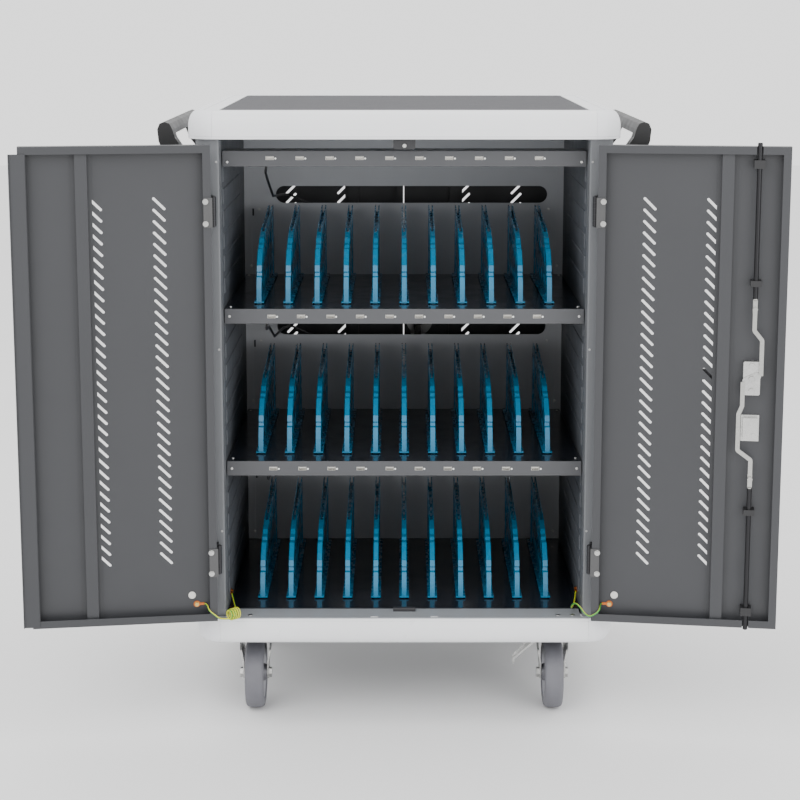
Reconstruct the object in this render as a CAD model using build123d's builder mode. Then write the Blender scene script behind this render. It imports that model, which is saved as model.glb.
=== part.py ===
from build123d import *
import math
import os

os.makedirs("parts", exist_ok=True)

# Mobile charging cabinet: three levels with upright bays, double doors at the front
# (standing open) and at the rear (shut), on four castors.
# Build frame: X across, Y from the front face towards the back, Z up from the floor.
# Everything is shifted by (SX, SY) when it is written, so that the origin is on the
# floor under the middle of the whole outline.
SX, SY = 6.014, -292.627

# ---- driving dimensions, mm
W, D = 730.0, 650.0          # over the bumper frames
Z_TB, H_TOP = 1028.5, 1076.0  # top bumper frame, underside and crest
Z_BB, Z_BT = 148.0, 196.0    # bottom bumper frame, underside and top
RAIL_T = 27.0                # depth of the bumper profile
CORNER = 44.0                # corner cap length along each side
POST_IN, POST_OUT = 311.0, 350.0
POST_Y, POST_D = 13.8, 37.2  # front face and depth of the corner posts
FRONT_Y = 51.0               # shelf front edges
BACK_Y = 487.0               # back partition
WALL_X = 311.0               # inner face of the side walls
Z_FLOOR, Z_S2, Z_S1 = 198.6, 465.4, 734.4
FASC = 26.0                  # port strip height
Z_RAIL = 1006.0              # top of the top port rail
PITCH = 50.8                 # bay pitch
T = 1.2                      # sheet
# doors, measured from the hinge axis: u along the door, v through its thickness
AX, AY = 319.3, -8.0
DU0, DU1 = 5.0, 318.3
DT = 20.0
DZ0, DZ1 = 202.0, 1021.0
OPEN = 172.0
RET = 13.0
HINGE_Z = (306.0, 909.0)
ROD_U, ROD_V = 267.0, 17.2   # lock rods
LOCK_U, CAM_Z, KEY_Z = 265.0, 634.5, 547.0
# castors
WR, WW = 62.5, 33.0
CX, CYF, CYR = 267.0, 134.0, 516.0
TRAIL = 34.0

written = {}


def out(name, *parts):
    """Label, shift to the final frame and write one node."""
    solids = []
    for p in parts:
        solids.extend(p.solids())
    solids = [s.moved(Location((SX, SY, 0))) for s in solids]
    shape = solids[0] if len(solids) == 1 else Compound(children=solids)
    shape.label = name
    export_step(shape, f"parts/{name}.step")
    written[name] = shape.bounding_box()


def out_plane(origin, ang):
    """Plane whose x points outward along ang and whose y is up."""
    a = math.radians(ang)
    return Plane(origin=origin, x_dir=(math.cos(a), math.sin(a), 0), z_dir=(math.sin(a), -math.cos(a), 0))


def block(x0, x1, y0, y1, z0, z1, fil=0.0, cham=0.0):
    with BuildPart() as b:
        with Locations(((x0 + x1) / 2, (y0 + y1) / 2, (z0 + z1) / 2)):
            Box(x1 - x0, y1 - y0, z1 - z0)
        if fil:
            fillet(b.edges(), fil)
        if cham:
            chamfer(b.edges(), cham)
    return b.part


def rod(r, length, at, rot):
    with BuildPart() as b:
        with Locations(Location(at, rot)):
            Cylinder(r, length)
    return b.part


def pan_screw(at, rot, r=3.2, h=1.8):
    """Domed screw head, its flat face on the sheet."""
    with BuildPart() as b:
        with Locations(Location(at, rot)):
            Cylinder(r, h, align=(Align.CENTER, Align.CENTER, Align.MIN))
        top = b.edges().sort_by(lambda e: (e.center() - Vector(*at)).length)[-1:]
        fillet(top, h * 0.55)
    return b.part


def both(part):
    return [part, mirror(part, about=Plane.YZ)]


# ------------------------------------------------------------------ bumper frames
def bumper_outline(top):
    hh = (H_TOP - Z_TB) if top else (Z_BT - Z_BB)
    pts = []
    if top:
        with BuildLine() as ln:
            Polyline((0, 0), (RAIL_T - 0.8, 0), (RAIL_T, 0.8), (RAIL_T, 3.6), (RAIL_T - 0.9, 4.2), (RAIL_T, 4.8), (RAIL_T, 17))
            Bezier((RAIL_T, 17), (RAIL_T, 33), (RAIL_T - 5, hh), (RAIL_T - 18, hh))
            Polyline((RAIL_T - 18, hh), (0, hh), (0, hh - 3.5), (RAIL_T - 20, hh - 3.5), (RAIL_T - 8, hh - 10),
                     (RAIL_T - 4.2, 20), (RAIL_T - 4.2, 3.5), (0, 3.5), (0, 0))
    else:
        with BuildLine() as ln:
            Polyline((0, hh), (RAIL_T - 0.8, hh), (RAIL_T, hh - 0.8), (RAIL_T, hh - 3.6), (RAIL_T - 0.9, hh - 4.2),
                     (RAIL_T, hh - 4.8), (RAIL_T, hh - 17))
            Bezier((RAIL_T, hh - 17), (RAIL_T, hh - 33), (RAIL_T - 5, 0), (RAIL_T - 18, 0))
            Polyline((RAIL_T - 18, 0), (0, 0), (0, 3.5), (RAIL_T - 20, 3.5), (RAIL_T - 8, 10),
                     (RAIL_T - 4.2, hh - 20), (RAIL_T - 4.2, hh - 3.5), (0, hh - 3.5), (0, hh))
    return ln.line


rails, caps = {True: [], False: []}, []
for top in (True, False):
    z0 = Z_TB if top else Z_BB
    for px, py, ang, ln in ((0, RAIL_T, -90, W - 2 * CORNER), (0, D - RAIL_T, 90, W - 2 * CORNER),
                            (-W / 2 + RAIL_T, D / 2, 180, D - 2 * CORNER), (W / 2 - RAIL_T, D / 2, 0, D - 2 * CORNER)):
        with BuildPart() as r:
            with BuildSketch(out_plane((px, py, z0), ang)):
                with BuildLine():
                    add(bumper_outline(top))
                make_face()
            extrude(amount=ln / 2 - 0.25, both=True)
            if ang == -90:
                # keeper holes for the lock rods
                zc = Z_TB if top else Z_BT
                with Locations((-52.3, -8 + ROD_V, zc), (52.3, -8 + ROD_V, zc)):
                    Box(13, 10, 12, mode=Mode.SUBTRACT)
        rails[top].append(r.part)
    rc = CORNER - RAIL_T
    for sx, sy, a in ((1, 1, 0), (-1, 1, 90), (-1, -1, 180), (1, -1, 270)):
        cx, cy = sx * (W / 2 - CORNER), D / 2 + sy * (D / 2 - CORNER)
        ar = math.radians(a)
        with BuildPart() as c:
            with BuildSketch(out_plane((cx + rc * math.cos(ar), cy + rc * math.sin(ar), z0), a)):
                with BuildLine():
                    add(bumper_outline(top))
                make_face()
            revolve(axis=Axis((cx, cy, 0), (0, 0, 1)), revolution_arc=90)
        caps.append(c.part)
out("bumper_rails", *rails[True], *rails[False])
out("bumper_corner_caps", *caps)

# ------------------------------------------------------------------ top panel and mat
XI, YI0, YI1 = W / 2 - RAIL_T, RAIL_T, D - RAIL_T
with BuildPart() as top_panel:
    with BuildSketch(Plane.XY.offset(Z_TB + 4)):
        with Locations((0, D / 2)):
            RectangleRounded(2 * XI - 0.6, YI1 - YI0 - 0.6, CORNER - RAIL_T - 0.5)
    extrude(amount=H_TOP - 0.4 - Z_TB - 4)
    with BuildSketch(Plane.XY.offset(Z_TB + 2)):
        with Locations((0, D / 2)):
            RectangleRounded(2 * XI - 3, YI1 - YI0 - 3, CORNER - RAIL_T - 2)
    extrude(amount=H_TOP - 6.5 - Z_TB - 2, mode=Mode.SUBTRACT)
    # shallow tray for the mat
    with BuildSketch(Plane.XY.offset(H_TOP - 3.6)):
        with Locations((0, D / 2)):
            RectangleRounded(624, 594, 8)
    extrude(amount=6, mode=Mode.SUBTRACT)
out("top_panel", top_panel.part)
with BuildPart() as top_mat:
    with BuildSketch(Plane.XY.offset(H_TOP - 3.6)):
        with Locations((0, D / 2)):
            RectangleRounded(622.4, 592.4, 7.2)
    extrude(amount=2.6)
    chamfer(top_mat.edges().group_by(Axis.Z)[-1], 0.6)
out("top_mat", top_mat.part)

# ------------------------------------------------------------------ base
with BuildPart() as base_pan:
    with Locations((0, D / 2, 154.5)):
        Box(2 * XI - 2, YI1 - YI0 - 2, 3)
    for x in (-XI + 3, XI - 3):
        with Locations((x, D / 2, (156 + 194) / 2)):
            Box(2, YI1 - YI0 - 30, 38)
    # two cross channels carry the floor
    for y in (CYF, CYR):
        for dy in (-40, 40):
            with Locations((0, y + dy, (156 + 196.4) / 2)):
                Box(2 * XI - 12, 2, 40.4)
    with BuildSketch(Plane.XY.offset(150)):
        for x in (-CX, CX):
            for y in (CYF, CYR):
                with Locations((x, y)):
                    with GridLocations(76, 54, 2, 2):
                        Circle(4.2)
    extrude(amount=9, mode=Mode.SUBTRACT)
out("base_pan", base_pan.part)

with BuildPart() as front_sill:
    with Locations((0, (3.0 + FRONT_Y + 1.2) / 2, Z_BT + 0.7)):
        Box(2 * 326, FRONT_Y + 1.2 - 3.0, 1.2)
    with Locations((0, FRONT_Y + 0.6, 185)):
        Box(2 * 310, 1.2, 24)
    with Locations((-52.3, -8 + ROD_V, Z_BT), (52.3, -8 + ROD_V, Z_BT)):
        Box(13, 10, 12, mode=Mode.SUBTRACT)
    # the posts and hinge leaves stand through the corners of the sill
    with Locations((-333, 31, Z_BT), (333, 31, Z_BT)):
        Box(50, 44, 20, mode=Mode.SUBTRACT)
out("front_sill", front_sill.part)

with BuildPart() as floor_panel:
    with Locations((0, (FRONT_Y + 2 + BACK_Y) / 2, Z_FLOOR - 0.8)):
        Box(2 * WALL_X - 3, BACK_Y - FRONT_Y - 2, 1.6)
    with Locations((0, (BACK_Y + 2 + D - 14) / 2, Z_FLOOR - 0.8)):
        Box(2 * WALL_X - 3, D - 14 - BACK_Y - 4, 1.6)
    with Locations((0, BACK_Y + 0.6, Z_FLOOR - 1.4)):
        Box(2 * WALL_X - 3, 8, 0.8)
out("floor_panel", floor_panel.part)

# ------------------------------------------------------------------ corner posts
with BuildPart() as post:
    with BuildSketch(Plane.XY.offset(Z_BT + 0.2)):
        with Locations((-(POST_IN + POST_OUT) / 2, POST_Y + POST_D / 2)):
            RectangleRounded(POST_OUT - POST_IN, POST_D, 3)
            RectangleRounded(POST_OUT - POST_IN - 4, POST_D - 4, 1.5, mode=Mode.SUBTRACT)
    extrude(amount=Z_TB - Z_BT - 0.4)
fl_post = post.part
fr_post = mirror(fl_post, about=Plane.YZ)
BACKP = Plane.XZ.offset(-D / 2)
rl_post = mirror(fl_post, about=BACKP)
rr_post = mirror(fr_post, about=BACKP)
out("corner_posts", fl_post, fr_post, rl_post, rr_post)

# ------------------------------------------------------------------ side walls
RIBS = [z0 + 38.6 * i for z0, n in ((236, 6), (503, 6), (772, 6)) for i in range(n)]
PY0, PY1 = POST_Y + POST_D + 0.3, D - POST_Y - POST_D - 0.3
with BuildPart() as wall:
    with Locations((-(WALL_X + T / 2), (PY0 + PY1) / 2, (Z_BT + Z_TB) / 2)):
        Box(T, PY1 - PY0, Z_TB - Z_BT - 1)
    for y in (PY0 + T / 2, PY1 - T / 2):
        with Locations((-(WALL_X + 9), y, (Z_BT + Z_TB) / 2)):
            Box(18, T, Z_TB - Z_BT - 1)
    # pressed ribs stand proud of the inner face
    with Locations(*[(-(WALL_X - 0.2), 232, z) for z in RIBS]):
        Box(2.8, 322, 27)
    rib_edges = wall.edges().filter_by(Axis.Y).filter_by(lambda e: e.length > 315 and e.length < 325 and e.center().X > -WALL_X + 0.8)
    chamfer(rib_edges, 1.3)
out("left_inner_wall", wall.part)
out("right_inner_wall", mirror(wall.part, about=Plane.YZ))
with BuildPart() as skin:
    with Locations((-(POST_OUT - 1.4), D / 2, (Z_BT + Z_TB) / 2)):
        Box(T, PY1 - PY0 - 0.6, Z_TB - Z_BT - 1)
    with BuildSketch(Plane.YZ.offset(-POST_OUT - 4)):
        with Locations(*[(y, 330 + 19.1 * i) for y in (250, 400) for i in range(12)] +
                       [(y, 690 + 19.1 * i) for y in (250, 400) for i in range(12)]):
            SlotOverall(30, 4.5, rotation=-45)
    extrude(amount=8, mode=Mode.SUBTRACT)
out("left_side_panel", skin.part)
with BuildPart() as right_skin:
    add(mirror(skin.part, about=Plane.YZ))
    with Locations((POST_OUT - 1.4, 440, 262)):
        Box(10, 62.6, 34.6, mode=Mode.SUBTRACT)
out("right_side_panel", right_skin.part)

# ------------------------------------------------------------------ back partition
SLOTS = ((15, 890.0), (15, 630.5), (15, 364.0))
with BuildPart() as back_partition:
    with Locations((0, BACK_Y + T / 2, (Z_FLOOR + Z_TB) / 2)):
        Box(2 * WALL_X - 2, T, Z_TB - Z_FLOOR - 1)
    for x in (-WALL_X + 8, WALL_X - 8):
        with Locations((x, BACK_Y - 0.8, (Z_FLOOR + Z_TB) / 2)):
            Box(14, 1.6, Z_TB - Z_FLOOR - 3)
    with BuildSketch(Plane.XZ.offset(-BACK_Y + 4)):
        with Locations(*SLOTS):
            SlotOverall(527, 33)
        with Locations((-293, 855.6), (-293, 596), (-293, 330)):
            Rectangle(3.4, 14)
    extrude(amount=-10, mode=Mode.SUBTRACT)
out("back_partition", back_partition.part)


# ------------------------------------------------------------------ shelves and port strips
PORT_X = [-228.6 + PITCH * i for i in range(10)]
PX0, PX1 = -WALL_X + 1.9, WALL_X - 1.9


def port_cuts(zc):
    """Port windows and lamp holes along one strip."""
    with BuildSketch(Plane.XZ.offset(-FRONT_Y + 3)) as s:
        with Locations(*[(x, zc) for x in PORT_X]):
            Rectangle(14.4, 6.4)
        with Locations(*[(x + 9.6, zc - 0.6) for x in PORT_X]):
            Circle(1.7)
    return s.sketch


def shelf_part(z):
    with BuildPart() as s:
        with Locations((0, (FRONT_Y + BACK_Y) / 2 - 0.3, z - 2.0 - T / 2)):
            Box(PX1 - PX0, BACK_Y - FRONT_Y - 3, T)
        with Locations((0, FRONT_Y + T / 2, z - FASC / 2)):
            Box(PX1 - PX0, T, FASC)
        with Locations((0, FRONT_Y + 20, z - FASC + T / 2)):
            Box(PX1 - PX0, 40, T)
        with Locations((0, BACK_Y - 3.6, z - 12)):
            Box(PX1 - PX0, T, 20)
        for x in (PX0 + T / 2, PX1 - T / 2):
            with Locations((x, (FRONT_Y + BACK_Y) / 2, z - 11)):
                Box(T, BACK_Y - FRONT_Y - 6, 18)
        extrude(port_cuts(z - 13), amount=-8, mode=Mode.SUBTRACT)
        fr = s.edges().filter_by(Axis.X).filter_by(lambda e: e.center().Y < FRONT_Y + 0.01 and e.length > 600)
        fillet(fr, 0.9)
    return s.part


out("upper_shelf", shelf_part(Z_S1))
out("middle_shelf", shelf_part(Z_S2))
with BuildPart() as rail:
    with Locations((0, FRONT_Y + T / 2, Z_RAIL - 13.4)):
        Box(PX1 - PX0, T, 26.8)
    with Locations((0, FRONT_Y + 30, Z_RAIL - T / 2)):
        Box(PX1 - PX0, 60, T)
    with Locations((0, FRONT_Y + 30, Z_RAIL - 26.8 + T / 2)):
        Box(PX1 - PX0, 60, T)
    with Locations((0, FRONT_Y + 60, Z_RAIL - 13.4)):
        Box(PX1 - PX0, T, 26.8)
    for x in (-238, 0, 238):
        with Locations((x, FRONT_Y + 60, Z_RAIL - 18)):
            Box(16, 6, 8, mode=Mode.SUBTRACT)
    extrude(port_cuts(Z_RAIL - 12.4), amount=-8, mode=Mode.SUBTRACT)
    fr = rail.edges().filter_by(Axis.X).filter_by(lambda e: e.center().Y < FRONT_Y + 0.01 and e.length > 600)
    fillet(fr, 0.9)
out("top_port_rail", rail.part)

mats = [block(PX0 + 1.4, PX1 - 1.4, FRONT_Y + 2.2, BACK_Y - 4.4, z - 2.0, z) for z in (Z_S1, Z_S2)]
out("shelf_mats", *mats)

ports, lamps, boards = [], [], []
for zc in (Z_RAIL - 12.4, Z_S1 - 13, Z_S2 - 13):
    for x in PORT_X:
        with BuildPart() as p:
            with Locations((x, FRONT_Y + 6.2, zc)):
                Box(14.0, 13, 6.0)
            with Locations((x, FRONT_Y + 4.2, zc)):
                Box(12.6, 13, 4.8, mode=Mode.SUBTRACT)
            with Locations((x, FRONT_Y + 6.2, zc + 1.1)):
                Box(11.2, 11, 1.5)
        ports.append(p.part)
        lamps.append(rod(1.55, 3.4, (x + 9.6, FRONT_Y + 0.9, zc - 0.6), (90, 0, 0)))
    boards.append(block(-262, 262, FRONT_Y + 12.9, FRONT_Y + 38, zc - 4.6, zc - 3.1))
out("usb_sockets", *ports)
out("status_lamps", *lamps)


# ------------------------------------------------------------------ bay dividers
# side outline, Y and height above the level
DIV = [(106, 2.0), (108, 26), (114, 46), (120.5, 47.5), (122.5, 53), (119, 55.5), (123, 66), (124.5, 66.5), (150, 91), (164, 91.5),
       (168, 96.5), (178, 99), (186, 106), (236, 119), (332, 129), (412, 141), (432, 141), (440, 128), (443, 4), (443, 2)]
WINDOWS = [(150, 26, 34, 34), (205, 34, 44, 44), (268, 38, 44, 52), (331, 40, 44, 56), (392, 42, 44, 60)]


def divider(z):
    with BuildPart() as d:
        with BuildSketch(Plane.YZ.offset(-4.3)):
            with BuildLine():
                Polyline(*[(y, z + h) for y, h in DIV], close=True)
            make_face()
        extrude(amount=8.6)
        # both faces are dished inside a rim
        for off, amt in ((-4.4, 2.7), (4.4, -2.7)):
            with BuildSketch(Plane.YZ.offset(off)):
                with BuildLine():
                    Polyline(*[(y, z + h) for y, h in ((118, 9), (122, 36), (134, 60), (156, 80), (192, 92), (330, 112), (425, 122), (431, 9))],
                             close=True)
                make_face()
            extrude(amount=amt, mode=Mode.SUBTRACT)
        # slanting windows through the web, in two rows
        with BuildSketch(Plane.YZ.offset(-5)):
            for i in range(5):
                with Locations((150 + 57 * i, z + 30)):
                    SlotOverall(36, 17, rotation=38)
            for i in range(4):
                with Locations((209 + 57 * i, z + 72 + 5 * i)):
                    SlotOverall(38, 17, rotation=38)
        extrude(amount=10, mode=Mode.SUBTRACT)
        # open groove along the rising top edge
        with BuildSketch(Plane.YZ.offset(-2.4)):
            with BuildLine():
                Polyline((190, z + 160), (190, z + 118), (236, z + 112), (412, z + 128), (450, z + 128), (450, z + 160), close=True)
            make_face()
        extrude(amount=4.8, mode=Mode.SUBTRACT)
        # base flange
        with Locations((0, (104.5 + 470) / 2, z + 3.0)):
            Box(17, 470 - 104.5, 2.2)
        with Locations((0, (112 + 466) / 2, z + 0.95)):
            Box(9, 466 - 112, 1.9)
    return d.part


for nm, z in (("upper", Z_S1), ("middle", Z_S2), ("lower", Z_FLOOR)):
    one = divider(z)
    out(f"dividers_{nm}", *[one.moved(Location((PITCH * k, 0, 0))) for k in range(-5, 6)])

# ------------------------------------------------------------------ push handles
HY0, HY1 = 84.0, 517.0


with BuildPart() as handle:
    with BuildSketch(Plane.XZ.offset(-HY0)):
        with BuildLine():
            Polyline((-349.4, 936), (-349.4, 990), (-362, 994), (-381, 1008), (-393, 1026), (-397, 1040), (-402, 1050), (-411, 1053),
                     (-419, 1050), (-423, 1040), (-421, 1020), (-413, 1000), (-396, 978), (-376, 958), (-362, 946), (-356, 936), close=True)
        make_face()
    extrude(amount=-(HY1 - HY0))
    # hand opening between the two legs
    with BuildSketch(Plane.XZ.offset(-(HY0 + 34))):
        with BuildLine():
            Polyline((-340, 920), (-340, 1006), (-380, 1032.5), (-430, 1032.5), (-440, 1000), (-440, 920), close=True)
        make_face()
    extrude(amount=-(HY1 - HY0 - 68), mode=Mode.SUBTRACT)
    longs = handle.edges().filter_by(Axis.Y).filter_by(lambda e: e.center().Z > 1034)
    fillet(longs, 2.4)
out("left_handle", handle.part)
out("right_handle", mirror(handle.part, about=Plane.YZ))

# ------------------------------------------------------------------ strikes, stops, screws
with BuildPart() as keeper:
    with Locations((0, 15.9, 1019.6)):
        Box(37, 1.6, 16.8)
    with Locations((0, 22, 1027.5)):
        Box(37, 13.8, 1.4)
    fillet(keeper.edges().filter_by(Axis.Y).group_by(Axis.Z)[0], 3)
with BuildPart() as stop:
    with Locations((0, 41, Z_BT + 1.3 + 3.0)):
        Box(39, 10, 6)
    chamfer(stop.edges().filter_by(Axis.X).group_by(Axis.Z)[-1], 2)
out("door_keepers", keeper.part, stop.part)

screws = [pan_screw((0, 15.1, 1017), (90, 0, 0), 3.6, 1.9)]
for sx in (-1, 1):
    for x in (269, 294):
        screws.append(pan_screw((sx * x, 16.5, Z_BT + 1.3), (0, 0, 0), 4.2, 1.0))
    for z in (Z_RAIL - 19, Z_S1 - 13, Z_S2 - 13):
        screws.append(pan_screw((sx * 301, FRONT_Y, z), (90, 0, 0), 2.4, 1.2))
    for z in (Z_S1, Z_S2):
        screws.append(pan_screw((sx * 301, FRONT_Y + 22, z), (0, 0, 0), 3.0, 1.6))
        screws.append(pan_screw((sx * 301, BACK_Y - 22, z), (0, 0, 0), 2.4, 1.4))
    for z in (Z_S1, Z_S2, Z_FLOOR):
        screws.append(pan_screw((sx * 298, BACK_Y - 1.6, z + 16), (90, 0, 0), 2.6, 1.4))
    for z in (861, 602, 336):
        screws.append(pan_screw((sx * 281, BACK_Y, z), (90, 0, 0), 2.4, 1.4))
    for z in (290, 610, 930):
        screws.append(pan_screw((sx * 316, POST_Y, z + 60), (90, 0, 0), 2.0, 0.9))
# ring lugs at the cabinet end of the earth leads
for sx, yb in ((-1, 94.0), (1, 108.0)):
    with BuildPart() as lug:
        with Locations((sx * (WALL_X - 2.0), yb + 4.1, 212)):
            Box(4.0, 8.0, 4.2)
        with Locations(Location((sx * (WALL_X - 0.8), yb + 12, 212), (0, 90, 0))):
            Cylinder(5.4, 1.6)
        with Locations(Location((sx * (WALL_X - 2.6), yb + 12, 212), (0, 90, 0))):
            Cylinder(3.4, 3.0)
    screws.append(lug.part)
out("frame_screws", *screws)

# ------------------------------------------------------------------ power parts in the rear compartment
with BuildPart() as psu:
    with Locations((-150, BACK_Y + 1.4 + 36, Z_FLOOR + 52.1)):
        Box(180, 70, 104)
    fillet(psu.edges().filter_by(Axis.X), 2)
    with BuildSketch(Plane.XZ.offset(-(BACK_Y + 74))):
        with Locations((-150, Z_FLOOR + 52.1)):
            with GridLocations(13, 13, 9, 5):
                Circle(3.4)
    extrude(amount=5, mode=Mode.SUBTRACT)
out("power_supply", psu.part)
hubs = [block(-60, 130, BACK_Y + 1.4, BACK_Y + 36, z, z + 46, fil=2.5) for z in (820, 560, 300)]
out("hub_modules", *hubs, *boards)

with BuildPart() as inlet:
    with Locations((POST_OUT - 15.4, 440, 262)):
        Box(34, 62, 34)
    with Locations((POST_OUT + 0.8, 440, 262)):
        Box(3, 70, 42)
    with Locations((POST_OUT - 2.4, 425, 262)):
        Box(28, 24.4, 20, mode=Mode.SUBTRACT)
    with Locations((POST_OUT - 2.4, 457, 262)):
        Box(26, 13.4, 22, mode=Mode.SUBTRACT)
    for y in (418.5, 425, 431.5):
        with Locations((POST_OUT - 8.4, y, 262)):
            Box(16, 2, 6)
out("mains_inlet", inlet.part)
with BuildPart() as rocker:
    with BuildSketch(Plane.XZ.offset(-451)):
        with BuildLine():
            Polyline((344.1, 254), (351.6, 252.2), (355.0, 256), (353.6, 262), (355.0, 268), (351.6, 271.8), (344.1, 270), close=True)
        make_face()
    extrude(amount=-12)
out("power_rocker", rocker.part)

# trunk leads from the port strips through the partition slots to the hub modules
leads = []
for z, zs, zh in ((Z_RAIL - 27.0, 893, 846), (Z_S1 - FASC - 1.2, 634, 586), (Z_S2 - FASC - 1.2, 368, 326)):
    x0 = -238.0
    pts = [(x0, 100, z - 0.55), (x0 - 2, 104, z - 14), (x0 - 4, 180, z - 34), (x0 - 3, 300, zs + 12), (x0 + 4, 430, zs + 2),
           (x0 + 14, BACK_Y + 14, zs - 4), (x0 + 60, BACK_Y + 22, zs - 26), (-100, BACK_Y + 22, zh), (-61.0, BACK_Y + 22, zh)]
    if z < 900:
        # from the underside of the shelf's front flange
        pts = [(x0, 80, z + 0.4), (x0 - 2, 84, z - 14), (x0 - 4, 180, z - 26), (x0 - 3, 300, zs + 9), (x0 + 4, 430, zs + 2),
               (x0 + 14, BACK_Y + 14, zs - 4), (x0 + 60, BACK_Y + 22, zs - 26), (-100, BACK_Y + 22, zh), (-61.0, BACK_Y + 22, zh)]
    with BuildPart() as lead:
        with BuildLine() as path:
            FilletPolyline(*pts, radius=14)
        with BuildSketch(Plane(origin=path.line @ 0, z_dir=path.line % 0)):
            Circle(2.2)
        sweep()
    leads.append(lead.part)
out("trunk_leads", *leads)


# ------------------------------------------------------------------ doors
class Door:
    """Where one door stands: planes facing inwards, with y up and x along sgn*u."""

    def __init__(self, side, rear=False, ang=0.0):
        hx, hy = side * AX, AY
        base = 180.0 if side > 0 else 0.0          # direction of u when shut
        a = base + (ang if side > 0 else -ang)
        n = 90.0 + (ang if side > 0 else -ang)     # inward normal
        ux, uy = math.cos(math.radians(a)), math.sin(math.radians(a))
        nx, ny = math.cos(math.radians(n)), math.sin(math.radians(n))
        if rear:
            hy, uy, ny = D - hy, -uy, -ny
        self.o, self.u, self.n = (hx, hy), (ux, uy), (nx, ny)
        xd = (-ny, nx)                              # Z cross n
        self.xd = xd
        self.s = 1.0 if xd[0] * ux + xd[1] * uy > 0 else -1.0

    def pt(self, u, v, z):
        return (self.o[0] + self.u[0] * u + self.n[0] * v, self.o[1] + self.u[1] * u + self.n[1] * v, z)

    def face(self, v, u=0.0, z=0.0):
        """Plane at depth v, local x = s*u, local y = z, normal inwards."""
        return Plane(origin=self.pt(u, v, z), x_dir=(self.xd[0], self.xd[1], 0), z_dir=(self.n[0], self.n[1], 0))

    def flat(self, u, v, z):
        """Horizontal plane at z with its origin at u, v, x along u and y along s*v."""
        return Plane(origin=self.pt(u, v, z), x_dir=(self.u[0], self.u[1], 0), z_dir=(0, 0, 1))

    def along(self, u, v, z):
        """Location frame: x along s*u, y up, z inwards."""
        return self.face(v, u, z).location


def dbox(d, u0, u1, v0, v1, z0, z1, mode=Mode.ADD):
    """Rectangular solid between u, v and z limits of one door."""
    with BuildSketch(d.face(v0)) as sk:
        with Locations((d.s * (u0 + u1) / 2, (z0 + z1) / 2)):
            Rectangle(u1 - u0, z1 - z0)
    extrude(sk.sketch, amount=v1 - v0, mode=mode)


def door_panel(d, lean, lock=False):
    with BuildPart() as p:
        dbox(d, DU0, DU1, 0, DT, DZ0, DZ1)
        dbox(d, DU0 + T, DU1 - T, T, DT - T, DZ0 + T, DZ1 - T, Mode.SUBTRACT)
        dbox(d, DU0 + RET, DU1 - RET, T, DT + 1, DZ0 + RET, DZ1 - RET, Mode.SUBTRACT)
        # ventilation slots, two columns
        with BuildSketch(d.face(-2)):
            with Locations(*[(d.s * u, 312 + 19.1 * i) for u in (90.5, 195.0) for i in range(33)]):
                SlotOverall(29, 4.5, rotation=lean)
        extrude(amount=6, mode=Mode.SUBTRACT)
        if lock:
            for z in (DZ0, DZ1):
                dbox(d, ROD_U - 5.2, ROD_U + 5.2, ROD_V - 5.2, DT + 1, z - 14, z + 14, Mode.SUBTRACT)
            # holes for the handle spindle and key barrel through the skin
            with BuildSketch(d.face(-2)):
                with Locations((d.s * LOCK_U, 634.5)):
                    Circle(9)
                with Locations((d.s * LOCK_U, 547)):
                    Circle(9.3)
            extrude(amount=5, mode=Mode.SUBTRACT)
    return p.part


def channel(d, u=217.0):
    """Hat stiffener spot welded to the inside of the skin."""
    with BuildPart() as p:
        dbox(d, u - 10, u + 10, T, 14, DZ0 + 2, DZ1 - 2)
        dbox(d, u - 8.6, u + 8.6, T - 0.2, 12.6, DZ0 + 1, DZ1 - 1, Mode.SUBTRACT)
        dbox(d, u - 17, u + 17, T, T + 1.2, DZ0 + 2, DZ1 - 2)
        dbox(d, u - 8.6, u + 8.6, T - 0.2, 12.6, DZ0 + 1, DZ1 - 1, Mode.SUBTRACT)
    return p.part


def ring(at, r, h, hole):
    with BuildPart() as k:
        with Locations(at):
            Cylinder(r, h)
            if hole:
                Cylinder(hole, h + 2, mode=Mode.SUBTRACT)
    return k.part


KN = 9.6     # knuckle height
def door_leaf(d, zc):
    """Moving leaf: three knuckles and a plate on the door's edge."""
    with BuildPart() as p:
        with BuildSketch(Plane(origin=(d.o[0], d.o[1], zc - 25), x_dir=(d.u[0], d.u[1], 0), z_dir=(0, 0, 1))):
            Circle(4.4)
            Circle(2.3, mode=Mode.SUBTRACT)
        extrude(amount=50)
        dbox(d, 2.6, 4.9, 0.0, 17.0, zc - 25, zc + 25)
        for dz in (-10.0, 10.0):
            dbox(d, -6, 5.4, -6, 6.2, zc + dz - 5.1, zc + dz + 5.1, Mode.SUBTRACT)
        with BuildSketch(Plane(origin=(d.o[0], d.o[1], zc - 26), x_dir=(1, 0, 0), z_dir=(0, 0, 1))):
            Circle(2.3)
        extrude(amount=52, mode=Mode.SUBTRACT)
        # flange turned over the return of the door, under its screws
        dbox(d, 2.6, 17.5, DT + 0.1, DT + 1.5, zc - 25, zc + 25)
        dbox(d, 2.6, 4.9, 16.0, DT + 1.5, zc - 25, zc + 25)
    return p.part


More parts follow.
